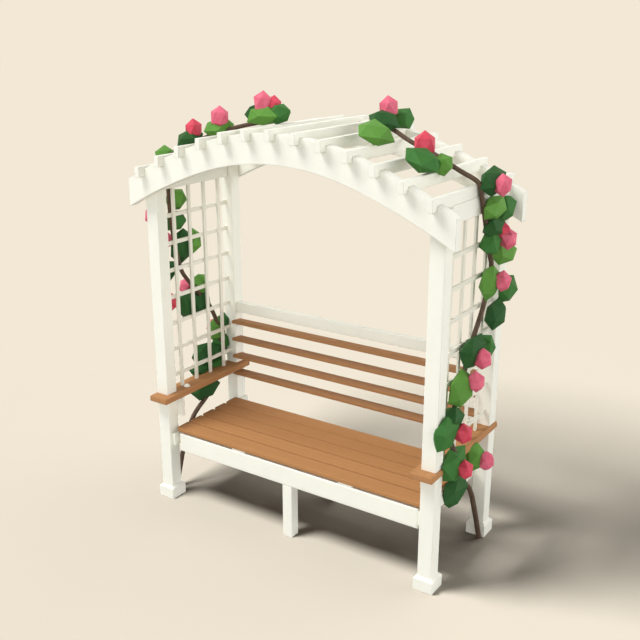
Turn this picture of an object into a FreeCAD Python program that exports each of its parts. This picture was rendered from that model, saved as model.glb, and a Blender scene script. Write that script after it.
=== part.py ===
import FreeCAD, Part
import math
import os

from FreeCAD import Placement, Rotation, Vector

# Arbour seat: a slatted bench between four posts, lattice sides, a roof of straight
# slats notched into two arches, and climbing roses up both sides and over the roof.
# Millimetres. +Z is up, the front is at -Y, and the origin is on the ground under the middle.

os.makedirs("parts", exist_ok=True)

# Posts and their plinth blocks
width_over_posts = 1650.0
depth_over_posts = 656.0
post_size = 72.0
post_edge_radius = 4.0
foot_size = 100.0
foot_side_height = 57.0
foot_tenon_size = 36.0
foot_tenon_length = 30.0

# Clearances of the hidden joints
tenon_side_clearance = 0.2
tenon_end_clearance = 2.0
notch_clearance = 0.2
seated_gap = 0.3

# Arches: a crown arc that runs into a wider arc at each end
arch_crown_height = 2027.0
arch_half_span = 888.0
arch_depth = 135.0
arch_thickness = 47.0
crown_arc_radius = 1300.0
crown_arc_half_span = 400.0
side_arc_radius = 2800.0

# Roof slats
roof_slat_count = 13
roof_slat_thickness = 27.0
roof_slat_height = 52.0
roof_slat_half_length = 415.0
roof_slat_above_arch = 20.0
roof_slat_edge_bevel = 2.0

# Side headers and lattice
header_thickness = 30.0
header_height = 81.0
header_tenon_thickness = 12.0
header_tenon_height = 50.0
header_tenon_length = 20.0
upright_count = 4
upright_pitch = 117.5
lattice_bar_width = 20.0
lattice_bar_thickness = 10.0
rung_count = 7
first_rung_above_arm = 75.0
rung_pitch = 144.3

# Armrests
arm_underside_height = 574.0
arm_thickness = 36.0
arm_width = 113.0
arm_outer_lip = 8.0
arm_front_overhang = 48.0
arm_rear_overhang = 7.0
arm_edge_radius = 9.0
bracket_thickness = 18.0
bracket_above_seat = 52.0
bracket_inner_reach = 36.0
bracket_lap = 37.0
cap_radius = 19.0
cap_rise = 10.5
cap_slopes = 3
cap_peg_radius = 5.0
cap_peg_length = 18.0
cap_setback_from_post = 85.0
cap_from_inner_edge = 37.0

# Seat
seat_height = 420.0
seat_slat_count = 5
seat_slat_thickness = 22.0
seat_slat_width = 95.0
seat_slat_gap = 7.0
seat_slat_end_clearance = 3.0
seat_slat_corner_bevel = 10.0
seat_slat_edge_radius = 5.0
seat_front = -300.0
seat_right_shift = 12.5
batten_thickness = 10.0
batten_width = 82.0
batten_offset = 325.0
batten_setback = 7.0
rail_height = 102.0
rail_thickness = 47.0
rail_edge_radius = 7.0
rail_tenon_thickness = 16.0
rail_tenon_height = 36.0
rail_tenon_setback = 28.0
bearer_thickness = 20.0
bearer_height = 68.0
bearer_below_rail_top = 6.0
bearer_front_overhang = 8.0
centre_leg_size = 56.0
centre_leg_edge_radius = 3.0

# Back of the seat
back_slat_count = 4
back_slat_depth = 82.0
back_slat_thickness = 17.0
back_slat_pitch = 103.6
back_slat_tilt = 5.6
back_slat_edge_radius = 4.0
lowest_back_slat_below_arm = 8.0
back_slat_projection = 32.0
back_tenon_length = 15.0
back_tenon_thickness = 9.0
back_tenon_width = 24.0
back_rail_above_top_slat = 99.2
back_rail_height = 60.0
back_rail_thickness = 30.0
back_rail_setback = 16.0

# Climbing roses
stem_radius = 13.0
stem_sides = 8
stem_bend_room = 1.0
stem_lead = 30.0
stem_fade = 85.0
leaf_thickness = 46.0
leaf_standoff = 32.0
roof_leaf_thickness = 52.0
leaf_unevenness = 0.08
bloom_radius = 44.0
bloom_stretch = 1.18

# Places worked out from the sizes above
post_x = (width_over_posts - post_size) / 2
post_y = (depth_over_posts - post_size) / 2
post_inner_x = post_x - post_size / 2
post_outer_x = post_x + post_size / 2
post_inner_y = post_y - post_size / 2
post_outer_y = post_y + post_size / 2
foot_bevel = (foot_size - post_size) / 2
foot_top = foot_side_height + foot_bevel
roof_slat_pitch = 2 * post_x / (roof_slat_count - 1)
roof_crown_height = arch_crown_height + roof_slat_above_arch
arm_top = arm_underside_height + arm_thickness
first_rung_height = arm_top + first_rung_above_arm
arm_outer_x = post_outer_x + arm_outer_lip
arm_inner_x = arm_outer_x - arm_width
slat_underside = seat_height - seat_slat_thickness
rail_top = slat_underside - batten_thickness
rail_bottom = rail_top - rail_height
seat_depth = seat_slat_count * (seat_slat_width + seat_slat_gap) - seat_slat_gap
seat_back = seat_front + seat_depth
bearer_top = rail_top - bearer_below_rail_top
bearer_inner_x = post_inner_x - bearer_thickness
rail_half_length = bearer_inner_x - seat_right_shift
seat_slat_half_length = post_inner_x - seat_right_shift - seat_slat_end_clearance
header_outer_x = post_x + header_thickness / 2
wall_plane = header_outer_x + stem_radius + seated_gap
arm_plane = arm_outer_x + stem_radius + seated_gap
arm_middle = arm_underside_height + arm_thickness / 2
lowest_back_slat_height = arm_underside_height - lowest_back_slat_below_arm
top_back_slat_height = lowest_back_slat_height + (back_slat_count - 1) * back_slat_pitch
back_rail_top_height = top_back_slat_height + back_rail_above_top_slat
sides = {"left": -1, "right": 1}
ends = {"front": -1, "rear": 1}


def box(x0, x1, y0, y1, z0, z1):
    """A box between two x, two y and two z values, given in any order."""
    low = Vector(min(x0, x1), min(y0, y1), min(z0, z1))
    return Part.makeBox(abs(x1 - x0), abs(y1 - y0), abs(z1 - z0), low)


def edges_along(shape, axis):
    """The straight edges of a shape that run along one axis."""
    found = []
    for edge in shape.Edges:
        span = edge.Vertexes[-1].Point - edge.Vertexes[0].Point
        if span.Length > 0 and abs(span.dot(axis)) > 0.999 * span.Length:
            found.append(edge)
    return found


def eased(shape, radius, *axes):
    """The shape with its edges along the given axes rounded."""
    chosen = [edge for axis in axes for edge in edges_along(shape, axis)]
    return shape.makeFillet(radius, chosen)


along_x = Vector(1, 0, 0)
along_y = Vector(0, 1, 0)
along_z = Vector(0, 0, 1)


def arch_drop(x):
    """How far the arch curve has fallen below its crown at this distance from the middle."""
    reach = abs(x)
    crown_fall = crown_arc_radius - math.sqrt(crown_arc_radius**2 - crown_arc_half_span**2)
    if reach <= crown_arc_half_span:
        return crown_arc_radius - math.sqrt(crown_arc_radius**2 - reach**2)
    lean = math.asin(crown_arc_half_span / crown_arc_radius)
    centre_x = crown_arc_half_span - side_arc_radius * math.sin(lean)
    centre_fall = crown_fall + side_arc_radius * math.cos(lean)
    return centre_fall - math.sqrt(side_arc_radius**2 - (reach - centre_x) ** 2)


def arch_slope(x):
    """The angle of the arch curve from level, in radians."""
    step = 1.0
    return math.atan((arch_drop(abs(x) + step) - arch_drop(abs(x))) / step)


def roof_top(x):
    """Height of a roof slat's top edge at this x."""
    return roof_crown_height - arch_drop(x)


def slat_seat(x):
    """Height of the notch that a roof slat rests in at this x."""
    return roof_top(x) - roof_slat_height


def roof_slat_places():
    middle = (roof_slat_count - 1) / 2
    return [(number - middle) * roof_slat_pitch for number in range(roof_slat_count)]


wall_head = slat_seat(post_x)
header_underside = wall_head - header_height


def arch_edge(crown_height, y):
    """Three tangent arcs of the arch curve, from left to right, with its crown at a height."""
    stations = [-arch_half_span, -crown_arc_half_span, crown_arc_half_span, arch_half_span]
    arcs = []
    for start, stop in zip(stations, stations[1:]):
        points = [Vector(x, y, crown_height - arch_drop(x)) for x in (start, (start + stop) / 2, stop)]
        arcs.append(Part.Arc(*points).toShape())
    return arcs


def arch(end):
    """An arch board fixed to the outer faces of two posts, notched for the roof slats."""
    y = post_outer_y if end > 0 else -post_outer_y - arch_thickness
    upper = arch_edge(arch_crown_height, y)
    lower = arch_edge(arch_crown_height - arch_depth, y)
    closers = []
    for index, vertex in ((0, 0), (-1, -1)):
        top = upper[index].Vertexes[vertex].Point
        bottom = lower[index].Vertexes[vertex].Point
        closers.append(Part.LineSegment(top, bottom).toShape())
    outline = Part.Wire(Part.__sortEdges__(upper + lower + closers))
    board = Part.Face(outline).extrude(Vector(0, arch_thickness, 0))
    half_notch = roof_slat_thickness / 2 + notch_clearance
    for x in roof_slat_places():
        notch = box(x - half_notch, x + half_notch, y - 1, y + arch_thickness + 1, slat_seat(x), roof_top(x))
        board = board.cut(notch)
    return board


def roof_slat(x):
    """A straight roof board standing on edge across both arches."""
    half = roof_slat_thickness / 2
    board = box(x - half, x + half, -roof_slat_half_length, roof_slat_half_length, slat_seat(x), roof_top(x))
    return board.makeChamfer(roof_slat_edge_bevel, edges_along(board, along_y))


def foot(side, end):
    """A plinth block with a bevelled top and a mortise for the post's tenon."""
    half = foot_size / 2
    x = side * post_x
    y = end * post_y
    block = box(x - half, x + half, y - half, y + half, 0, foot_top)
    rim = [edge for edge in block.Edges if min(v.Z for v in edge.Vertexes) > foot_top - 0.01]
    block = block.makeChamfer(foot_bevel - 0.01, rim)
    hole = foot_tenon_size / 2 + tenon_side_clearance
    depth = foot_tenon_length + tenon_end_clearance
    return block.cut(box(x - hole, x + hole, y - hole, y + hole, foot_top - depth, foot_top))


def post(side, end):
    """A square post with rounded corners, a tenon below and its head under the last roof slat."""
    half = post_size / 2
    x = side * post_x
    y = end * post_y
    shaft = box(x - half, x + half, y - half, y + half, foot_top, wall_head)
    shaft = eased(shaft, post_edge_radius, along_z)
    half_tenon = foot_tenon_size / 2
    tenon = box(x - half_tenon, x + half_tenon, y - half_tenon, y + half_tenon, foot_top - foot_tenon_length, foot_top)
    shaft = shaft.fuse(tenon).removeSplitter()
    shaft = shaft.cut(header_tenons(side, tenon_side_clearance, tenon_end_clearance))
    if end > 0:
        shaft = shaft.cut(back_rail_tenons(tenon_side_clearance, tenon_end_clearance))
        for number in range(back_slat_count):
            shaft = shaft.cut(back_slat_tenons(number, tenon_side_clearance, tenon_end_clearance))
    return shaft


def header_tenons(side, grow, longer):
    """The two tenons of a side header in one bar, made larger to cut their mortises."""
    half = header_tenon_thickness / 2 + grow
    middle = (wall_head + header_underside) / 2
    reach = post_inner_y + header_tenon_length + longer
    rise = header_tenon_height / 2 + grow
    return box(side * post_x - half, side * post_x + half, -reach, reach, middle - rise, middle + rise)


def header(side):
    """The rail from front post to rear post that carries the outermost roof slat."""
    half = header_thickness / 2
    x = side * post_x
    beam = box(x - half, x + half, -post_inner_y, post_inner_y, header_underside, wall_head)
    return beam.fuse(header_tenons(side, 0, 0)).removeSplitter()


def lattice_uprights(side):
    """Thin vertical bars from the armrest to the header, on the inner half of the lattice."""
    bars = []
    for number in range(upright_count):
        y = (number - (upright_count - 1) / 2) * upright_pitch
        half = lattice_bar_width / 2
        inner = side * (post_x - lattice_bar_thickness)
        bars.append(box(inner, side * post_x, y - half, y + half, arm_top, header_underside))
    return Part.makeCompound(bars)


def lattice_rungs(side):
    """Thin level bars between the posts, on the outer half of the lattice."""
    bars = []
    for number in range(rung_count):
        z = first_rung_height + number * rung_pitch
        half = lattice_bar_width / 2
        outer = side * (post_x + lattice_bar_thickness)
        bars.append(box(side * post_x, outer, -post_inner_y, post_inner_y, z - half, z + half))
    return Part.makeCompound(bars)


def cap_centre(side):
    return Vector(side * (arm_inner_x + cap_from_inner_edge), -post_inner_y + cap_setback_from_post, arm_top)


def armrest(side):
    """A thick board with round edges, slipped over the front and rear posts of one side."""
    front = -post_outer_y - arm_front_overhang
    rear = post_outer_y + arm_rear_overhang
    board = box(side * arm_inner_x, side * arm_outer_x, front, rear, arm_underside_height, arm_top)
    board = eased(board, arm_edge_radius, along_x, along_y)
    half = post_size / 2
    for end in ends.values():
        hole = box(
            side * post_x - half, side * post_x + half,
            end * post_y - half, end * post_y + half,
            arm_underside_height - 1, arm_top + 1,
        )
        board = board.cut(eased(hole, post_edge_radius, along_z))
    centre = cap_centre(side)
    deep = cap_peg_length + tenon_end_clearance
    bore = Part.makeCylinder(cap_peg_radius + tenon_side_clearance, deep, centre - Vector(0, 0, deep))
    return board.cut(bore)


def arm_bracket(side):
    """The plate under an armrest, fixed behind the front post."""
    inner = post_inner_x - bracket_inner_reach
    outer = post_inner_x + bracket_lap
    plate = box(
        side * inner, side * outer, -post_inner_y, -post_inner_y + bracket_thickness,
        seat_height + bracket_above_seat, arm_underside_height,
    )
    return plate.makeChamfer(bracket_thickness / 6, edges_along(plate, along_y))


def arm_cap(side):
    """A domed cover with a peg, over the screw in the armrest. The dome falls in straight slopes."""
    ball = (cap_radius**2 + cap_rise**2) / (2 * cap_rise)
    full_angle = math.asin(cap_radius / ball)
    outline = []
    for step in range(cap_slopes + 1):
        angle = full_angle * step / cap_slopes
        outline.append(Vector(ball * math.sin(angle), 0, cap_rise - ball + ball * math.cos(angle)))
    outline.append(Vector(cap_peg_radius, 0, 0))
    outline.append(Vector(cap_peg_radius, 0, -cap_peg_length))
    outline.append(Vector(0, 0, -cap_peg_length))
    outline.append(outline[0])
    cap = Part.Face(Part.makePolygon(outline)).revolve(Vector(0, 0, 0), along_z, 360)
    cap.translate(cap_centre(side))
    return cap


def rail_tenons(end, grow, longer):
    """The two tenons of a seat rail in one bar."""
    outer_face = rail_outer_face(end)
    near = outer_face - end * (rail_tenon_setback - grow)
    far = outer_face - end * (rail_tenon_setback + rail_tenon_thickness + grow)
    reach = bearer_inner_x + bearer_thickness - tenon_end_clearance + longer
    middle = rail_bottom + rail_height / 2
    rise = rail_tenon_height / 2 + grow
    return box(-reach, reach, near, far, middle - rise, middle + rise)


def rail_outer_face(end):
    """The y of the face of a seat rail that looks away from the seat's middle."""
    return seat_front if end < 0 else seat_back - batten_setback


def seat_rail(end):
    """A rail under the seat, with rounded ends and a stub tenon into each side bearer. Its
    right end meets the bearer and its left end stops short of it."""
    outer_face = rail_outer_face(end)
    inner_face = outer_face - end * rail_thickness
    left = seat_right_shift - rail_half_length
    right = seat_right_shift + rail_half_length
    rail = box(left, right, outer_face, inner_face, rail_bottom, rail_top)
    rail = eased(rail, rail_edge_radius, along_x, along_z)
    return rail.fuse(rail_tenons(end, 0, 0)).removeSplitter()


def side_bearer(side):
    """The board on the inner faces of two posts that takes the tenons of both seat rails."""
    inner = side * bearer_inner_x
    front = seat_front - bearer_front_overhang
    board = box(inner, side * post_inner_x, front, post_outer_y, bearer_top - bearer_height, bearer_top)
    board = eased(board, bearer_thickness / 5, along_y)
    for end in ends.values():
        board = board.cut(rail_tenons(end, tenon_side_clearance, tenon_end_clearance))
    return board


def centre_leg(end):
    """A short square leg under the middle of a seat rail."""
    outer_face = rail_outer_face(end)
    half = centre_leg_size / 2
    leg = box(-half, half, outer_face, outer_face - end * centre_leg_size, 0, rail_bottom)
    return eased(leg, centre_leg_edge_radius, along_z)


def seat_batten(side):
    """A flat board across both rails that the seat slats are fixed to."""
    half = batten_width / 2
    x = side * batten_offset + seat_right_shift
    return box(x - half, x + half, seat_front + batten_setback, seat_back - batten_setback, rail_top, slat_underside)


def seat_slat(number):
    """One board of the seat, with its corners taken off."""
    left = seat_right_shift - seat_slat_half_length
    right = seat_right_shift + seat_slat_half_length
    front = seat_front + number * (seat_slat_width + seat_slat_gap)
    board = box(left, right, front, front + seat_slat_width, slat_underside, seat_height)
    board = board.makeChamfer(seat_slat_corner_bevel, edges_along(board, along_z))
    return eased(board, seat_slat_edge_radius, along_x)


def back_slat_frame(number):
    """Where a back slat's upper front edge lies, and how the slat leans."""
    front = post_inner_y - back_slat_projection
    height = lowest_back_slat_height + number * back_slat_pitch
    return Placement(Vector(0, front, height), Rotation(along_x, -back_slat_tilt))


def back_slat_tenons(number, grow, longer):
    """The two tenons of a back slat in one bar."""
    reach = post_inner_x + back_tenon_length + longer
    middle = back_slat_projection + post_size / 2 - back_tenon_width / 2
    half_width = back_tenon_width / 2 + grow
    centre = -back_slat_thickness / 2
    half_thick = back_tenon_thickness / 2 + grow
    bar = box(-reach, reach, middle - half_width, middle + half_width, centre - half_thick, centre + half_thick)
    bar.Placement = back_slat_frame(number)
    return bar


def back_slat(number):
    """A board of the back, nearly level, between the rear posts."""
    board = box(-post_inner_x, post_inner_x, 0, back_slat_depth, -back_slat_thickness, 0)
    board = eased(board, back_slat_edge_radius, along_x)
    board.Placement = back_slat_frame(number)
    return board.fuse(back_slat_tenons(number, 0, 0)).removeSplitter()


def back_rail_tenons(grow, longer):
    """The two tenons of the top back rail in one bar."""
    reach = post_inner_x + header_tenon_length + longer
    middle_y = post_inner_y + back_rail_setback + back_rail_thickness / 2
    half = header_tenon_thickness / 2 + grow
    middle_z = back_rail_top_height - back_rail_height / 2
    rise = back_rail_height / 3 + grow
    return box(-reach, reach, middle_y - half, middle_y + half, middle_z - rise, middle_z + rise)


def back_rail():
    """The white rail between the rear posts, above the back slats."""
    front = post_inner_y + back_rail_setback
    bottom = back_rail_top_height - back_rail_height
    rail = box(-post_inner_x, post_inner_x, front, front + back_rail_thickness, bottom, back_rail_top_height)
    rail = eased(rail, back_slat_edge_radius, along_x)
    return rail.fuse(back_rail_tenons(0, 0)).removeSplitter()


def climb_spot(across, up):
    """A place on a side wall. Across is in percent of the way from the middle to the posts,
    towards the rear on the right and towards the front on the left, because the two plants
    are turned half round from each other. Up is in percent of the way from the armrest to
    the header, or below zero from the armrest down to the ground."""
    run = header_underside - arm_middle if up > 0 else arm_middle
    return across / 100 * post_inner_y, arm_middle + up / 100 * run


def stem_reach(z):
    """How far out a stem's middle line runs at a height: it goes round the armrest."""
    beyond = abs(z - arm_middle) - arm_thickness / 2 - stem_lead
    share = min(max(beyond / stem_fade, 0), 1)
    return wall_plane + (arm_plane - wall_plane) * (1 + math.cos(math.pi * share)) / 2


def stem_over_roof(side, gaps, across):
    """A point of a stem's middle line in a gap between the roof slats that carry it."""
    x = post_x - gaps * roof_slat_pitch
    slope = arch_slope(x)
    sag = (roof_slat_pitch / 2) ** 2 / (2 * crown_arc_radius)
    lift = (stem_radius + seated_gap) / math.cos(slope) + roof_slat_thickness / 2 * math.tan(slope) + sag
    return Vector(side * x, side * across / 100 * post_inner_y, roof_top(x) + lift)


def stem_points(side, climb, roof_run):
    """The middle line of a stem: from the foot block, up outside the lattice, over the roof."""
    points = []
    for across, up in climb:
        y, z = climb_spot(across, up)
        points.append(Vector(side * stem_reach(z), side * y, z))
    first = points[0]
    foot_face = post_y - foot_size / 2
    lean = math.atan2(foot_face - abs(first.y), first.z)
    base = Vector(side * wall_plane, side * (foot_face - (stem_radius + seated_gap) / math.cos(lean)), 0)
    below = base + (base - first) * 0.2
    bend = math.radians(90) / 2 - arch_slope(post_x) / 2
    room = stem_radius + seated_gap + stem_bend_room
    corner_x = post_x + roof_slat_thickness / 2 + room * math.cos(bend)
    corner_y = (climb[-1][0] + roof_run[0][1]) / 200 * post_inner_y
    corner = Vector(side * corner_x, side * corner_y, roof_top(post_x) + room * math.sin(bend))
    over = [stem_over_roof(side, gaps, across) for gaps, across in roof_run]
    return [below] + points + [corner] + over


def slid(ring, run, centre, normal):
    """The corners of a ring moved along a run onto the plane through a centre."""
    return [corner + run * ((centre - corner).dot(normal) / run.dot(normal)) for corner in ring]


def stem(points):
    """A woody stem with flat sides, in straight runs mitred at each bend, cut off at the ground."""
    runs = [(after - before).normalize() for before, after in zip(points, points[1:])]
    sideways = runs[0].cross(along_x).normalize()
    upward = runs[0].cross(sideways)
    ring = []
    for number in range(stem_sides):
        angle = 2 * math.pi * (number + 0.5) / stem_sides
        ring.append(points[0] + (sideways * math.cos(angle) + upward * math.sin(angle)) * stem_radius)
    rings = [ring]
    for run, onward, corner in zip(runs, runs[1:], points[1:]):
        rings.append(slid(rings[-1], run, corner, run + onward))
    rings.append(slid(rings[-1], runs[-1], points[-1], runs[-1]))
    faces = [Part.Face(Part.makePolygon(end_ring + end_ring[:1])) for end_ring in (rings[0], rings[-1])]
    for low, high in zip(rings, rings[1:]):
        for number in range(stem_sides):
            beside = (number + 1) % stem_sides
            side = [low[number], low[beside], high[beside], high[number], low[number]]
            faces.append(Part.Face(Part.makePolygon(side)))
    reach = width_over_posts
    ground = box(-reach, reach, -reach, reach, -reach, 0)
    return closed_solid(faces).cut(ground)


def closed_solid(faces):
    shell = Part.Shell(faces)
    shell.sewShape()
    solid = Part.Solid(shell)
    if solid.Volume < 0:
        solid.reverse()
    return solid


# Each stem's way up its wall, as places for climb_spot
right_climb = [
    (61, -68), (30, -39), (-16, -26), (-43, -16), (-51, -9), (-68, 5), (-76, 11), (-61, 22), (-48, 29),
    (-27, 36), (-9, 44), (3, 49), (25, 55), (47, 62), (73, 77), (56, 82), (17, 104), (6, 108),
]
left_climb = [
    (74, -79), (59, -59), (27, -35), (-21, -24), (-43, -18), (-52, -9), (-66, 5), (-76, 12), (-72, 23),
    (-53, 32), (-38, 38), (-10, 44), (20, 52), (45, 59), (61, 78), (66, 88), (67, 102), (68, 108),
]

# Each stem's way over the roof: gaps between slats from the outermost slat, and place across
right_roof_run = [(0.5, -5), (1.5, 7), (2.5, 8), (3.5, 41), (4.1, 50)]
left_roof_run = [(0.5, 71), (1.5, 75), (2.5, 77), (3.5, 64), (4.1, 53)]


def faceted_ball():
    """The corners and triangles of a ball with twenty flat faces, one corner up."""
    corners = [Vector(0, 0, 1)]
    for ring, z in ((0, 1), (0.5, -1)):
        for number in range(5):
            angle = math.radians(72) * (number + ring)
            corners.append(Vector(2 * math.cos(angle), 2 * math.sin(angle), z) / math.sqrt(5))
    corners.append(Vector(0, 0, -1))
    triangles = []
    for number in range(5):
        beside = (number + 1) % 5
        triangles.append((0, 1 + number, 1 + beside))
        triangles.append((1 + number, 6 + number, 1 + beside))
        triangles.append((1 + beside, 6 + number, 6 + beside))
        triangles.append((6 + number, 11, 6 + beside))
    return corners, triangles


def faceted_solid(corners, triangles):
    loops = [[corners[index] for index in triangle] for triangle in triangles]
    return closed_solid([Part.Face(Part.makePolygon(loop + loop[:1])) for loop in loops])


def leaf(centre, half_sizes, facing, turn, lean):
    """A clump of leaf: a flat-faced ball with one flat face to the front, pressed thin."""
    corners, triangles = faceted_ball()
    side_of_face = Vector(-math.sin(math.radians(36)), math.cos(math.radians(36)), 0)
    face_up = Rotation(side_of_face, -37.4)
    wobble = Rotation(along_x, 12 * math.sin(math.radians(turn)))
    own_turn = facing.multiply(wobble).multiply(Rotation(along_z, turn)).multiply(face_up)
    placed = []
    for index, corner in enumerate(corners):
        point = own_turn.multVec(corner) * (1 + leaf_unevenness * math.sin(2.4 * index + turn))
        point = Vector(point.x * half_sizes[0], point.y * half_sizes[1], point.z * half_sizes[2])
        placed.append(centre + Rotation(along_y, lean).multVec(point))
    return faceted_solid(placed, triangles)


def bloom(centre, size, turn):
    """A rose as a flat-faced bud with its point up."""
    corners, triangles = faceted_ball()
    spin = Rotation(along_y, turn / 6 - 8).multiply(Rotation(along_z, turn))
    placed = []
    for corner in corners:
        point = spin.multVec(corner) * bloom_radius * size
        placed.append(centre + Vector(point.x, point.y, point.z * bloom_stretch))
    return faceted_solid(placed, triangles)


# Leaf clumps beside the lattice: kind, place for climb_spot, half width, half height, turn
right_leaves = [
    ("light", -52, 32, 98, 92, 80), ("dark", -78, 21, 90, 60, 20), ("mid", -105, 17, 110, 86, 150),
    ("mid", -66, 0, 114, 98, 95), ("light", 24, -10, 66, 80, 10), ("dark", -56, -25, 120, 80, 130),
    ("dark", -8, 45, 120, 84, 35), ("mid", 47, 43, 68, 70, 110), ("dark", 85, 55, 98, 74, 60),
    ("light", 48, 71, 88, 84, 15), ("mid", 128, 64, 84, 74, 105), ("mid", 41, 88, 78, 60, 140),
    ("light", 104, 81, 118, 60, 50), ("dark", 54, 94, 108, 46, 165), ("light", 45, 102, 98, 60, 100),
    ("mid", 99, 100, 78, 64, 40), ("dark", 34, 113, 108, 72, 75),
]
left_leaves = [
    ("light", 63, 114, 64, 52, 150), ("light", 38, 93, 80, 60, 65), ("mid", 44, 83, 80, 60, 120),
    ("dark", 27, 70, 92, 98, 90), ("light", -5, 71, 56, 76, 30), ("dark", 78, 60, 68, 60, 10),
    ("light", -21, 48, 68, 66, 75), ("dark", 23, 40, 80, 82, 100), ("dark", -22, 39, 80, 76, 140),
    ("light", -71, 21, 80, 72, 85), ("dark", -93, 23, 68, 56, 45), ("mid", -87, 13, 80, 56, 160),
    ("dark", -24, 11, 92, 66, 115), ("dark", -68, 9, 104, 66, 25), ("dark", -12, 3, 80, 42, 70),
    ("mid", -70, 2, 80, 46, 130), ("dark", -26, -16, 114, 72, 55),
]

# Blooms beside the lattice: kind, place for climb_spot, how far off the wall, size, turn
right_blooms = [
    ("pink", -36, 35, 84, 1.0, 10), ("red", -78, 16, 84, 1.0, 40), ("pink", 32, -13, 84, 1.0, 70),
    ("red", -62, -3, 84, 0.95, 25), ("pink", -12, 43, 84, 1.0, 55), ("pink", 55, 72, 84, 1.0, 85),
    ("pink", 68, 89, 84, 1.0, 30), ("red", 66, 92, 58, 0.9, 65), ("pink", 29, 112, 84, 1.0, 15),
]
left_blooms = [
    ("pink", 97, 87, 58, 1.0, 20), ("pink", 61, 74, 58, 0.9, 50), ("pink", -3, 47, 84, 1.0, 10),
    ("red", 57, 43, 58, 1.0, 60), ("pink", -71, 22, 58, 0.9, 5),
]

# Leaf clumps on the roof: kind, x, y, height over the slats, half width, half length, turn
roof_leaves = [
    ("mid", 635, -190, 44, 88, 88, 20), ("light", 685, -100, 42, 50, 50, 70), ("dark", 290, 85, 46, 80, 80, 160),
    ("mid", 300, 250, 47, 62, 62, 100), ("light", 380, -140, 42, 92, 90, 35), ("dark", -640, -190, 46, 70, 70, 0),
    ("light", -465, -175, 46, 86, 78, 80), ("light", -220, -140, 45, 86, 78, 130), ("dark", -270, -130, 62, 56, 56, 50),
    ("mid", -150, -110, 47, 56, 56, 90),
]

# Blooms on the roof: kind, x, y, height over the slats, size, turn
roof_blooms = [
    ("red", 608, -121, 89, 1.15, 45), ("pink", 280, 148, 96, 1.12, 15), ("red", -620, -180, 89, 1.05, 30),
    ("pink", -436, -200, 88, 1.08, 60), ("pink", -224, -140, 104, 1.12, 75), ("red", -186, -110, 89, 0.9, 110),
]


def side_roses(side, leaves, blooms):
    """The leaf clumps and blooms of one side wall, each with its kind."""
    facing = Rotation(along_y, 90)
    shapes = []
    for colour, across, up, wide, tall, turn in leaves:
        y, z = climb_spot(across, up)
        centre = Vector(header_outer_x + leaf_standoff, y, z)
        shapes.append((f"leaf_{colour}", leaf(centre, (leaf_thickness, wide, tall), facing, turn, 0)))
    for colour, across, up, standoff, size, turn in blooms:
        y, z = climb_spot(across, up)
        centre = Vector(header_outer_x + standoff, y, z)
        shapes.append((f"bloom_{colour}", bloom(centre, size, turn)))
    if side < 0:
        for kind, shape in shapes:
            shape.rotate(Vector(0, 0, 0), along_z, 180)
    return shapes


def roses_on_roof():
    """The leaf clumps and blooms that lie over the roof slats, each with its kind."""
    shapes = []
    for colour, x, y, rise, wide, long, turn in roof_leaves:
        centre = Vector(x, y, roof_top(x) + rise)
        lean = math.degrees(math.copysign(arch_slope(x), x))
        half_sizes = (wide, long, roof_leaf_thickness)
        shapes.append((f"leaf_{colour}", leaf(centre, half_sizes, Rotation(), turn, lean)))
    for colour, x, y, rise, size, turn in roof_blooms:
        centre = Vector(x, y, roof_top(x) + rise)
        shapes.append((f"bloom_{colour}", bloom(centre, size, turn)))
    return shapes


def largest(shape):
    """The biggest solid of a shape, which drops any chip that a cut leaves."""
    return max(shape.Solids, key=lambda solid: solid.Volume)


def fitted_roses(carriers):
    """Leaves and blooms cut back where they meet a stem, the frame or each other."""
    groups = {}
    placed = []
    shapes = side_roses(1, right_leaves, right_blooms)
    shapes += side_roses(-1, left_leaves, left_blooms)
    shapes += roses_on_roof()
    for kind, shape in shapes:
        for other in carriers + placed:
            if shape.BoundBox.intersect(other.BoundBox) and shape.distToShape(other)[0] < 0.001:
                shape = largest(shape.cut(other))
        placed.append(shape)
        groups.setdefault(kind, []).append(shape)
    return {kind: Part.makeCompound(solids) for kind, solids in groups.items()}


def frame_parts():
    """Every piece of the wooden seat by name."""
    parts = {}
    for end_name, end in ends.items():
        for side_name, side in sides.items():
            parts[f"post_{end_name}_{side_name}"] = post(side, end)
            parts[f"foot_{end_name}_{side_name}"] = foot(side, end)
        parts[f"arch_{end_name}"] = arch(end)
        parts[f"seat_rail_{end_name}"] = seat_rail(end)
        parts[f"centre_leg_{end_name}"] = centre_leg(end)
    for number, x in enumerate(roof_slat_places(), start=1):
        parts[f"roof_slat_{number:02d}"] = roof_slat(x)
    for side_name, side in sides.items():
        parts[f"header_{side_name}"] = header(side)
        parts[f"lattice_uprights_{side_name}"] = lattice_uprights(side)
        parts[f"lattice_rungs_{side_name}"] = lattice_rungs(side)
        parts[f"armrest_{side_name}"] = armrest(side)
        parts[f"arm_bracket_{side_name}"] = arm_bracket(side)
        parts[f"side_bearer_{side_name}"] = side_bearer(side)
        parts[f"seat_batten_{side_name}"] = seat_batten(side)
    parts["arm_caps"] = Part.makeCompound([arm_cap(side) for side in sides.values()])
    for number in range(seat_slat_count):
        parts[f"seat_slat_{number + 1}"] = seat_slat(number)
    for number in range(back_slat_count):
        parts[f"back_slat_{number + 1}"] = back_slat(number)
    parts["back_rail"] = back_rail()
    return parts


parts = frame_parts()
stem_lines = {
    "stem_right": stem_points(1, right_climb, right_roof_run),
    "stem_left": stem_points(-1, left_climb, left_roof_run),
}
stems = {name: stem(points) for name, points in stem_lines.items()}
roses = fitted_roses(list(stems.values()) + list(parts.values()))
parts.update(stems)
parts.update(roses)

for name, shape in parts.items():
    shape.exportStep(f"parts/{name}.step")
    print(name, len(shape.Solids), "solids", round(shape.Volume / 1000), "cm3", shape.isValid())
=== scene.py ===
import math

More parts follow.
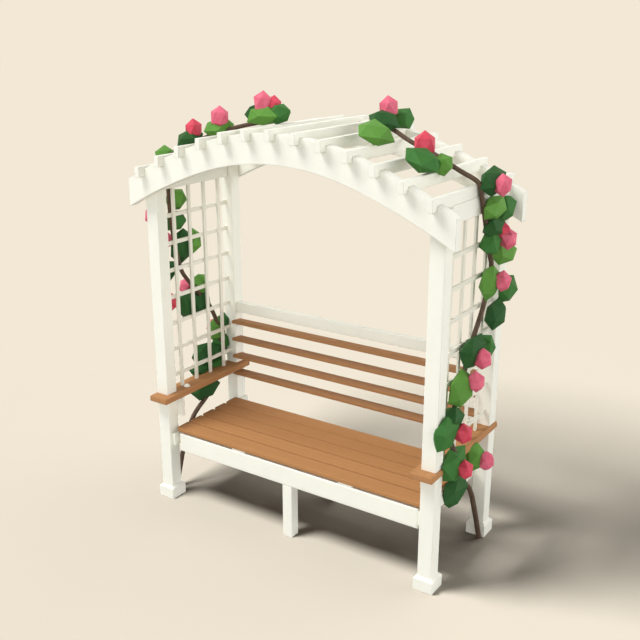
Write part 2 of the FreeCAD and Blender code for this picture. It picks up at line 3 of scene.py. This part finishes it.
import bpy
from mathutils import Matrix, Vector


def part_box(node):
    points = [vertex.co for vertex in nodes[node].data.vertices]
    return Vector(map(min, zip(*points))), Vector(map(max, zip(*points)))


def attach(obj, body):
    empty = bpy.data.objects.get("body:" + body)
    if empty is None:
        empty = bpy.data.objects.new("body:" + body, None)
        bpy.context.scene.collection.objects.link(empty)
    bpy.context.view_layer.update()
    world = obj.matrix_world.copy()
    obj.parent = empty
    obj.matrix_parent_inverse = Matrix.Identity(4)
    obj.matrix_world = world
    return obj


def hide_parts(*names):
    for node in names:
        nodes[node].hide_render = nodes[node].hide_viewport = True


# Arbour seat: white painted posts, arches, roof slats and lattice, oiled seat and back
# boards, and two climbing roses. Metres. +Z is up and the front is at -Y.

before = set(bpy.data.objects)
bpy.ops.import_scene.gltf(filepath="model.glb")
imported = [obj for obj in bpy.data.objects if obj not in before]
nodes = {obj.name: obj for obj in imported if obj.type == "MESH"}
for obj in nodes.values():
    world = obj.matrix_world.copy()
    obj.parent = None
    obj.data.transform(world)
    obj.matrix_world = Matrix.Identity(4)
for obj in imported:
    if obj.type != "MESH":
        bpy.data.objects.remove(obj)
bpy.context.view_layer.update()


class Wire:
    """A shader socket that takes part in sums, so that patterns read as formulas."""

    def __init__(self, recipe, socket):
        self.recipe = recipe
        self.socket = socket

    def combine(self, operation, first, second=0.0):
        return self.recipe.node("ShaderNodeMath", {"operation": operation}, {0: first, 1: second})

    def __add__(self, other):
        return self.combine("ADD", self, other)

    def __sub__(self, other):
        return self.combine("SUBTRACT", self, other)

    def __mul__(self, other):
        return self.combine("MULTIPLY", self, other)

    def __truediv__(self, other):
        return self.combine("DIVIDE", self, other)

    def __rsub__(self, other):
        return self.combine("SUBTRACT", other, self)

    def __rtruediv__(self, other):
        return self.combine("DIVIDE", other, self)

    __radd__ = __add__
    __rmul__ = __mul__

    def floor(self):
        return self.combine("FLOOR", self)

    def root(self):
        return self.combine("SQRT", self)

    def between(self, low, high):
        """0 below low, 1 above high, and a soft step between them."""
        settings = {"interpolation_type": "SMOOTHSTEP"}
        return self.recipe.node("ShaderNodeMapRange", settings, {0: self, 1: low, 2: high})


class Recipe:
    """The nodes of one material or of the world."""

    def __init__(self, tree):
        self.tree = tree
        self.tree.nodes.clear()

    def node(self, kind, settings, sockets, output=0):
        """Adds a node, sets it up, links or fills its sockets and returns one output."""
        made = self.tree.nodes.new(kind)
        for setting, value in settings.items():
            if setting == "stops":
                self.set_stops(made.color_ramp, value)
            else:
                setattr(made, setting, value)
        for key, value in sockets.items():
            if isinstance(value, Wire):
                self.tree.links.new(value.socket, made.inputs[key])
            else:
                made.inputs[key].default_value = value
        return Wire(self, made.outputs[output]) if made.outputs else None

    @staticmethod
    def set_stops(ramp, stops):
        while len(ramp.elements) < len(stops):
            ramp.elements.new(0.5)
        for element, (position, colour) in zip(ramp.elements, stops):
            element.position = position
            element.color = (*colour, 1)

    def plain_view(self):
        """1 where the camera looks straight at it or sees it mirrored, 0 where it only lights."""
        straight = self.node("ShaderNodeLightPath", {}, {}, "Is Camera Ray")
        mirrored = self.node("ShaderNodeLightPath", {}, {}, "Is Glossy Ray")
        return straight + mirrored


class Finish(Recipe):
    """One material, built up from nodes."""

    def __init__(self, name):
        self.material = bpy.data.materials.new(name)
        self.material.use_nodes = True
        super().__init__(self.material.node_tree)
        self.place = self.node("ShaderNodeTexCoord", {}, {}, "Object")

    def axes(self, vector=None):
        """The x, y and z of a vector, or else of the place on the piece."""
        split = self.node("ShaderNodeSeparateXYZ", {}, {0: vector or self.place})
        return [Wire(self, output) for output in split.socket.node.outputs]

    def moved(self, vector, shift):
        return self.node("ShaderNodeVectorMath", {"operation": "ADD"}, {0: vector, 1: shift})

    def stretched(self, scales):
        """The place with each axis scaled by its own number."""
        return self.node("ShaderNodeVectorMath", {"operation": "MULTIPLY"}, {0: self.place, 1: scales})

    def noise(self, scales, detail=3.0, rough=0.55, shift=None):
        """Cloudy noise from 0 to 1, with its own scale along each axis."""
        place = self.stretched(scales)
        if shift is not None:
            place = self.moved(place, shift)
        sockets = {"Vector": place, "Scale": 1.0, "Detail": detail, "Roughness": rough}
        return self.node("ShaderNodeTexNoise", {}, sockets)

    def mix(self, share, first, second):
        """A blend of two colours, each a linear colour or a wire."""
        colours = [c if isinstance(c, Wire) else (*c, 1) for c in (first, second)]
        sockets = {0: share, 6: colours[0], 7: colours[1]}
        return self.node("ShaderNodeMix", {"data_type": "RGBA"}, sockets, 2)

    def soft_edges(self, radius):
        """The surface's direction, turned smoothly round its edges as if they were sanded."""
        return self.node("ShaderNodeBevel", {"samples": 6}, {"Radius": radius})

    def bump(self, height, distance, strength=1.0, below=None):
        sockets = {"Height": height, "Distance": distance, "Strength": strength}
        if below is not None:
            sockets["Normal"] = below
        return self.node("ShaderNodeBump", {}, sockets)

    def surface(self, colour, roughness, normal=None, **fixed):
        """The material's shader. Fixed values go straight on its sockets."""
        sockets = {"Base Color": colour, "Roughness": roughness}
        if normal is not None:
            sockets["Normal"] = normal
        sockets.update({name.replace("_", " "): value for name, value in fixed.items()})
        return self.finish_with(self.node("ShaderNodeBsdfPrincipled", {}, sockets))

    def finish_with(self, shader):
        self.node("ShaderNodeOutputMaterial", {}, {0: shader})
        return self.material


def linear(red, green, blue):
    """A colour as seen on screen, from 0 to 255, as the linear colour that light uses."""
    shares = [c / 255 for c in (red, green, blue)]
    return tuple(s / 12.92 if s <= 0.04045 else ((s + 0.055) / 1.055) ** 2.4 for s in shares)


def along(axis, length_scale, cross_scale):
    """Pattern scales for grain that runs along an axis, 0 for x, 1 for y, 2 for z."""
    return tuple(length_scale if index == axis else cross_scale for index in range(3))


# How far the edges of stout timber, of slim bars and of the boards are eased
stout_edge = 0.005
slim_edge = 0.0005
board_edge = 0.007

# How far the grain jumps along each axis from one board to the next
board_jumps = (37.0, 11.0, 23.0)


def white_paint(name, axis, edge_radius, shade, sun):
    """Satin paint on planed timber with eased edges: faint grain, brush lines and tone."""
    finish = Finish(name)
    clouds = finish.noise((3.1, 3.1, 3.1), 4.0)
    brush = finish.noise(along(axis, 5.0, 420.0), 2.0, 0.6)
    grain = finish.noise(along(axis, 2.5, 95.0), 3.0, 0.6)
    tone = clouds.between(0.3, 0.7) * 0.6 + grain * 0.4
    colour = finish.mix(tone, shade, sun)
    peel = finish.noise((900, 900, 900), 1.0)
    relief = finish.bump(grain, 0.0003, 0.25, finish.soft_edges(edge_radius))
    relief = finish.bump(brush, 0.0001, 0.3, relief)
    relief = finish.bump(peel, 0.00003, 0.3, relief)
    roughness = brush * 0.10 + clouds * 0.08 + 0.42
    return finish.surface(colour, roughness, relief, Specular_IOR_Level=0.3)


def garden_wood(name, axis, board_axis, board_pitch, board_start, shade, sun):
    """Oiled timber: calm, close grain between two tones, each board a little its own."""
    finish = Finish(name)
    board = ((finish.axes()[board_axis] - board_start) / board_pitch).floor()
    own = finish.node("ShaderNodeTexWhiteNoise", {"noise_dimensions": "1D"}, {"W": board})
    jumps = {index: own * jump for index, jump in enumerate(board_jumps)}
    shift = finish.node("ShaderNodeCombineXYZ", {}, jumps)
    drift = finish.noise(along(axis, 1.1, 8.0), 2.0, 0.5, shift)
    rings = finish.node(
        "ShaderNodeTexWave",
        {"wave_type": "BANDS", "bands_direction": "XYZ"[board_axis], "wave_profile": "SAW"},
        {
            "Vector": finish.moved(finish.stretched(along(axis, 0.3, 7.0)), shift),
            "Scale": 1.6, "Distortion": 4.0, "Detail": 2.0, "Detail Scale": 1.2,
        },
    )
    fibres = finish.noise(along(axis, 12.0, 620.0), 3.0, 0.65, shift)
    streaks = finish.noise(along(axis, 1.8, 70.0), 3.0, 0.6, shift)
    share = rings * 0.16 + streaks * 0.34 + fibres * 0.2 + drift * 0.3
    colour = finish.mix(share.between(0.2, 0.8), shade, sun)
    colour = finish.mix(own * 0.2, colour, tuple(0.86 * c for c in shade))
    relief = finish.bump(share, 0.0005, 0.3, finish.soft_edges(board_edge))
    relief = finish.bump(fibres, 0.00012, 0.5, relief)
    return finish.surface(colour, 0.72 - share * 0.12, relief, Specular_IOR_Level=0.12)


def rose_bark():
    """Woody stem: brown bark with long fissures and paler raised places."""
    finish = Finish("rose_bark")
    fissures = finish.noise((55, 55, 9), 4.0, 0.65)
    flakes = finish.noise((190, 190, 60), 2.0, 0.6)
    share = fissures * 0.65 + flakes * 0.35
    colour = finish.node(
        "ShaderNodeValToRGB",
        {"stops": [(0.3, linear(66, 52, 42)), (0.52, linear(88, 70, 56)), (0.75, linear(108, 88, 72))]},
        {0: share},
    )
    relief = finish.bump(fissures, 0.0012, 0.5)
    relief = finish.bump(flakes, 0.0004, 0.5, relief)
    return finish.surface(colour, 0.72 - share * 0.1, relief, Specular_IOR_Level=0.25)


def rose_leaf(name, shade, sun):
    """Leaf clump: flat cut faces, each with its own green, soft mottling and a waxy skin."""
    finish = Finish(name)
    facing = finish.node("ShaderNodeNewGeometry", {}, {}, "True Normal")
    own = finish.node("ShaderNodeTexWhiteNoise", {"noise_dimensions": "3D"}, {"Vector": facing})
    clouds = finish.noise((9, 9, 9), 3.0, 0.5)
    mottle = finish.noise((70, 70, 70), 3.0, 0.6)
    share = own * 0.25 + clouds.between(0.3, 0.7) * 0.45 + mottle * 0.3
    colour = finish.mix(share, shade, sun)
    relief = finish.bump(mottle, 0.0004, 0.3)
    return finish.surface(colour, 0.72 - mottle * 0.12, relief, Specular_IOR_Level=0.1)


def rose_petal(name, shade, sun):
    """Bloom: petal colour that pales in soft clouds, with a fine silky relief."""
    finish = Finish(name)
    clouds = finish.noise((22, 22, 30), 2.0, 0.5)
    silk = finish.noise((160, 160, 420), 2.0, 0.6)
    colour = finish.mix(clouds.between(0.25, 0.75), shade, sun)
    relief = finish.bump(silk, 0.0002, 0.3)
    return finish.surface(colour, 0.58 - silk * 0.08, relief, Specular_IOR_Level=0.25)


def cap_plastic():
    """Moulded white cover: smooth, with a very fine spark-eroded grain."""
    finish = Finish("cap_plastic")
    grain = finish.noise((1500, 1500, 1500), 1.0)
    clouds = finish.noise((40, 40, 40), 2.0)
    colour = finish.mix(clouds, linear(238, 236, 222), linear(244, 242, 229))
    relief = finish.bump(grain, 0.00004, 0.4)
    return finish.surface(colour, clouds * 0.08 + 0.36, relief)


backdrop_colour = linear(242, 232, 213)

# The place of the key light: one lamp there lights the seat and one draws its shadow
key_place = (-2.0, -2.35, 6.0)
key_radius = 1.2
key_slant_at_seat = math.dist(key_place, (0, 0, 0))

# The floor has lamps of its own, this many times the plain level, and a colour as many times
# darker, so that what the seat throws back on it stays weak and its shadow deep. Each lamp gives
# its share of the floor's light. The seat sees the floor glow in a colour of its own.
floor_level = 4.0
floor_shares = {"key": 0.81, "back": 0.14, "top": 0.05}
floor_glow = (0.165, 0.16, 0.147)
floor_size = 80
floor_fade_start = 2.6
floor_fade_end = 3.6


def pale_floor():
    """Pale ground, evened out under the hanging key lamp, that fades into the backdrop colour."""
    finish = Finish("pale_floor")
    x, y = finish.axes()[:2]
    fade = (x * x + y * y).root().between(floor_fade_start, floor_fade_end)
    across = x - key_place[0]
    back = y - key_place[1]
    key_height = key_place[2]
    slant = (across * across + back * back + key_height * key_height).root()
    reach = floor_shares["key"] * key_slant_at_seat / slant + (1 - floor_shares["key"])
    clouds = finish.noise((0.8, 0.8, 0.8), 3.0)
    plain = finish.mix(clouds, linear(241.5, 231.5, 212.5), linear(242.5, 232.5, 213.5))
    evened = finish.mix(1 / (reach * floor_level), (0, 0, 0), plain)
    colour = finish.mix(finish.node("ShaderNodeLightPath", {}, {}, "Is Camera Ray"), floor_glow, evened)
    ground = finish.node("ShaderNodeBsdfDiffuse", {}, {"Color": colour})
    haze = finish.node("ShaderNodeEmission", {}, {"Color": (*backdrop_colour, 1), "Strength": 1.0})
    haze_share = fade * finish.plain_view()
    return finish.finish_with(finish.node("ShaderNodeMixShader", {}, {0: haze_share, 1: ground, 2: haze}))


def dress(object_, material):
    object_.data.materials.clear()
    object_.data.materials.append(material)


# White timber: the way its grain runs, how far its edges are eased, and its two tones. The
# lattice's two tones are darker than the rest: painted shade, for the lattice's lower light.
full_coats = (linear(239, 238, 226), linear(244, 243, 231))
# Lattice tones darkened as painted shade, not a different paint
lattice_painted_shade = (linear(224, 221, 206), linear(230, 227, 212))
white_timber = [
    ("painted_beams", 0, stout_edge, full_coats, ("arch_", "seat_rail_", "back_rail")),
    ("painted_headers", 1, stout_edge, full_coats, ("header_", "side_bearer_", "seat_batten_")),
    ("painted_posts", 2, stout_edge, full_coats, ("post_", "foot_", "centre_leg_")),
    ("painted_slats", 1, stout_edge, full_coats, ("roof_slat_",)),
    ("painted_rungs", 1, slim_edge, lattice_painted_shade, ("lattice_rungs_",)),
    ("painted_uprights", 2, slim_edge, lattice_painted_shade, ("lattice_uprights_",)),
    ("painted_brackets", 2, slim_edge, full_coats, ("arm_bracket_",)),
]
for paint_name, axis, edge_radius, tones, starts in white_timber:
    paint = white_paint(paint_name, axis, edge_radius, *tones)
    for name, piece in nodes.items():
        if name.startswith(starts):
            dress(piece, paint)

# Oiled boards. A pitch and a start part the boards of a kind, and each armrest lies in a
# stretch of its own.
seat_low, seat_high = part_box("seat_slat_1")
seat_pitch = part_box("seat_slat_2")[0].y - seat_low.y
seat_start = seat_low.y - (seat_pitch - (seat_high.y - seat_low.y)) / 2
back_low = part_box("back_slat_1")[0]
back_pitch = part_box("back_slat_2")[0].z - back_low.z
back_start = back_low.z - back_pitch / 3
arm_pitch = 0.5
arm_start = -2.0
boards = [
    ("seat_slat_", "seat_wood", 0, 1, seat_pitch, seat_start, linear(172, 122, 77), linear(184, 133, 86)),
    ("back_slat_", "back_wood", 0, 2, back_pitch, back_start, linear(160, 115, 76), linear(172, 126, 84)),
    ("armrest_", "arm_wood", 1, 0, arm_pitch, arm_start, linear(170, 122, 80), linear(184, 134, 89)),
]
for start, *choices in boards:
    wood = garden_wood(*choices)
    for name, piece in nodes.items():
        if name.startswith(start):
            dress(piece, wood)

# Roses and caps
dress(nodes["arm_caps"], cap_plastic())
rose_tones = [
    ("leaf_dark", rose_leaf, linear(40, 80, 42), linear(54, 96, 50)),
    ("leaf_mid", rose_leaf, linear(52, 102, 48), linear(70, 122, 60)),
    ("leaf_light", rose_leaf, linear(88, 138, 58), linear(102, 152, 70)),
    ("bloom_pink", rose_petal, linear(208, 90, 114), linear(230, 112, 136)),
    ("bloom_red", rose_petal, linear(198, 62, 82), linear(218, 76, 96)),
]
for name, skin, shade, sun in rose_tones:
    dress(nodes[name], skin(name, shade, sun))
bark = rose_bark()

# Where the stems climb, from the frame
arm_low, arm_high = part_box("armrest_right")
header_low, header_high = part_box("header_right")
slat_low, slat_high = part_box("roof_slat_13")
arm_middle = (arm_low.z + arm_high.z) / 2
stem_standoff = 0.013
wall_line = header_high.x + stem_standoff
wall_reach = -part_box("post_front_right")[1].y
outer_slat_x = (slat_low.x + slat_high.x) / 2
roof_slat_pitch = slat_low.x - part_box("roof_slat_12")[0].x

# Each stem's way up its wall: how far across, in percent of the way from the middle to the
# posts, towards the rear on the right and towards the front on the left, how far up, in percent
# of the way from the armrest to the header, or below zero from the armrest down to the ground,
# and how many millimetres it stands off the wall line
right_climb = [
    (61, -68, 0), (30, -39, 0), (-16, -26, 0), (-43, -16, 15), (-51, -9, 30), (-68, 5, 30),
    (-76, 11, 3), (-61, 22, 0), (-48, 29, 0), (-27, 36, 0), (-9, 44, 0), (3, 49, 0),
    (25, 55, 0), (47, 62, 0), (73, 77, 0), (56, 82, 0), (17, 104, 0), (6, 108, 1),
]
left_climb = [
    (74, -79, 0), (59, -59, 0), (27, -35, 0), (-21, -24, 0), (-43, -18, 9), (-52, -9, 30),
    (-66, 5, 30), (-76, 12, 1), (-72, 23, 0), (-53, 32, 0), (-38, 38, 0), (-10, 44, 0),
    (20, 52, 0), (45, 59, 0), (61, 78, 0), (66, 88, 0), (67, 102, 0), (68, 108, 1),
]

# Each stem's way over the roof, across as above. The gaps are counted from the outermost slat.
right_over_roof = [-5, 7, 8, 41, 50]
left_over_roof = [71, 75, 77, 64, 53]
roof_gaps = [0.5, 1.5, 2.5, 3.5, 4.1]
roof_heights = [1.882, 1.939, 1.986, 2.026, 2.041]
roof_corner_off = 1
roof_corner_height = 1.840

# How far from the middle each stem leaves the ground, and where its end is before the cut
right_foot = 0.228
left_foot = 0.230
foot_height = 0.002
root_reach = 0.234
root_depth = 0.010


def stem_line(side, foot, climb, over_roof):
    """The middle line of a stem to the millimetre, from just below the ground beside a foot
    block, up outside the lattice, round the armrest and over the roof slats. Every place on the
    left is turned half round."""
    corner_across = (climb[-1][0] + over_roof[0]) / 2
    points = [(wall_line, root_reach, -root_depth), (wall_line, foot, foot_height)]
    for across, up, off in climb:
        run = header_low.z - arm_middle if up > 0 else arm_middle
        points.append((wall_line + off / 1000, across / 100 * wall_reach, arm_middle + up / 100 * run))
    points.append((wall_line + roof_corner_off / 1000, corner_across / 100 * wall_reach, roof_corner_height))
    for gaps, across, height in zip(roof_gaps, over_roof, roof_heights):
        points.append((outer_slat_x - gaps * roof_slat_pitch, across / 100 * wall_reach, height))
    return [(round(side * x, 3), round(side * y, 3), round(z, 3)) for x, y, z in points]


stem_lines = {
    "stem_right": stem_line(1, right_foot, right_climb, right_over_roof),
    "stem_left": stem_line(-1, left_foot, left_climb, left_over_roof),
}
stem_radius_at_ground = 0.0132
stem_radius_at_tip = 0.0100
stem_weld = 0.0001
stem_smooth_angle = math.radians(50)


def deselect():
    if bpy.context.object and bpy.context.object.mode != "OBJECT":
        bpy.ops.object.mode_set(mode="OBJECT")
    bpy.ops.object.select_all(action="DESELECT")


def rose_stem(node_name, points):
    """A round stem on a smooth line, thinner towards its tip, cut off flat at the ground."""
    deselect()
    bpy.ops.curve.primitive_nurbs_path_add()
    stem = bpy.context.object
    stem.name = f"bark_{node_name}"
    spline = stem.data.splines[0]
    spline.points.add(len(points) - len(spline.points))
    for number, (point, place) in enumerate(zip(spline.points, points)):
        share = number / (len(points) - 1)
        point.co = (*place, 1)
        radius = stem_radius_at_ground * (1 - share) + stem_radius_at_tip * share
        point.radius = radius / stem_radius_at_ground
    spline.order_u = 3
    spline.use_endpoint_u = True
    spline.resolution_u = 6
    stem.data.bevel_depth = stem_radius_at_ground
    stem.data.bevel_resolution = 3
    stem.data.use_fill_caps = True
    bpy.ops.object.convert(target="MESH")
    bpy.ops.object.mode_set(mode="EDIT")
    bpy.ops.mesh.select_all(action="SELECT")
    bpy.ops.mesh.remove_doubles(threshold=stem_weld)
    bpy.ops.mesh.bisect(plane_co=(0, 0, 0), plane_no=(0, 0, 1), clear_inner=True, use_fill=True)
    bpy.ops.mesh.select_all(action="SELECT")
    bpy.ops.mesh.normals_make_consistent(inside=False)
    bpy.ops.object.mode_set(mode="OBJECT")
    bpy.ops.object.shade_smooth_by_angle(angle=stem_smooth_angle)
    dress(stem, bark)
    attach(stem, "root")
    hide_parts(node_name)


for node_name, points in stem_lines.items():
    rose_stem(node_name, points)

# Floor and world
deselect()
bpy.ops.mesh.primitive_grid_add(x_subdivisions=4, y_subdivisions=4, size=floor_size)
floor = bpy.context.object
floor.name = "floor"
dress(floor, pale_floor())

world = bpy.data.worlds.new("studio")
bpy.context.scene.world = world
world.use_nodes = True
studio = Recipe(world.node_tree)
room_level = 0.04
room_light = studio.node("ShaderNodeBackground", {}, {"Color": (1, 1, 1, 1), "Strength": room_level})
room_seen = studio.node("ShaderNodeBackground", {}, {"Color": (*backdrop_colour, 1), "Strength": 1.0})
room = studio.node("ShaderNodeMixShader", {}, {0: studio.plain_view(), 1: room_light, 2: room_seen})
studio.node("ShaderNodeOutputWorld", {}, {0: room})


def only_for(lamp, piece, lit):
    """Lets a lamp light nothing but one piece, or everything else than it."""
    reached = bpy.data.collections.new(f"reached_by_{lamp.name}")
    reached.objects.link(piece)
    lamp.light_linking.receiver_collection = reached
    reached.collection_objects[0].light_linking.link_state = "INCLUDE" if lit else "EXCLUDE"


def hanging_lamp(name, place, radius, strength):
    """A round lamp over the seat. Its light is as strong far from it as near it."""
    deselect()
    bpy.ops.object.light_add(type="POINT", location=place)
    lamp = bpy.context.object
    lamp.name = name
    lamp.data.energy = 1.0
    lamp.data.shadow_soft_size = radius
    lamp.data.use_nodes = True
    glow = Recipe(lamp.data.node_tree)
    even = glow.node("ShaderNodeLightFalloff", {}, {"Strength": strength * 4 * math.pi}, "Constant")
    glow.node("ShaderNodeOutputLight", {}, {0: glow.node("ShaderNodeEmission", {}, {"Strength": even})})
    return lamp


def wide_lamp(name, azimuth, height, strength, spread):
    """A broad lamp far off: its bearing from +x and height in degrees, and how wide it looks."""
    turn = math.radians(azimuth)
    lift = math.radians(height)
    towards = Vector((math.cos(turn) * math.cos(lift), math.sin(turn) * math.cos(lift), math.sin(lift)))
    deselect()
    bpy.ops.object.light_add(type="SUN")
    lamp = bpy.context.object
    lamp.name = name
    lamp.rotation_mode = "QUATERNION"
    lamp.rotation_quaternion = (-towards).to_track_quat("-Z", "Y")
    lamp.data.energy = strength
    lamp.data.angle = math.radians(spread)
    return lamp


# The seat's own light: the key from the front left, a little sky on that side, and low soft
# light round the right. Each wide lamp has its bearing and height in degrees and its strength.
key_strength = 2.42
seat_spread = 50
seat_sky = [
    ("sky_front_left", 225, 30, 0.62),
    ("sky_rear_left", 135, 35, 0.6),
    ("low_front", 270, 10, 0.76),
    ("low_front_right", 315, 10, 1.05),
    ("low_right", 0, 10, 0.74),
    ("low_rear_right", 45, 15, 1.75),
]
seat_lamps = [hanging_lamp("key", key_place, key_radius, key_strength)]
for choices in seat_sky:
    seat_lamps.append(wide_lamp(*choices, seat_spread))
for lamp in seat_lamps:
    only_for(lamp, floor, False)

# The floor's light, which draws the seat's shadow. A lamp that slants is made stronger, so
# that it gives the level floor its whole share.
floor_light = math.pi * floor_level
floor_spread = 60
key_slant = key_slant_at_seat / key_place[2]
floor_key_strength = floor_shares["key"] * floor_light * key_slant
floor_lamps = [hanging_lamp("floor_key", key_place, key_radius, floor_key_strength)]
for share_name, azimuth, height in (("back", 65, 45), ("top", 0, 90)):
    strength = floor_shares[share_name] * floor_light / math.sin(math.radians(height))
    floor_lamps.append(wide_lamp(f"floor_{share_name}", azimuth, height, strength, floor_spread))
for lamp in floor_lamps:
    only_for(lamp, floor, True)

# The photograph's camera, with its lens and sensor in millimetres
camera_place = Vector((2.331, -3.510, 2.460))
camera_target = Vector((0, 0, 1.0775))
lens_length = 50
sensor_width = 36
deselect()
bpy.ops.object.camera_add(location=camera_place)
camera = bpy.context.object
camera.rotation_mode = "QUATERNION"
camera.rotation_quaternion = (camera_target - camera.location).to_track_quat("-Z", "Y")
camera.data.lens = lens_length
camera.data.sensor_width = sensor_width
bpy.context.scene.camera = camera
bpy.context.scene.view_settings.view_transform = "Standard"
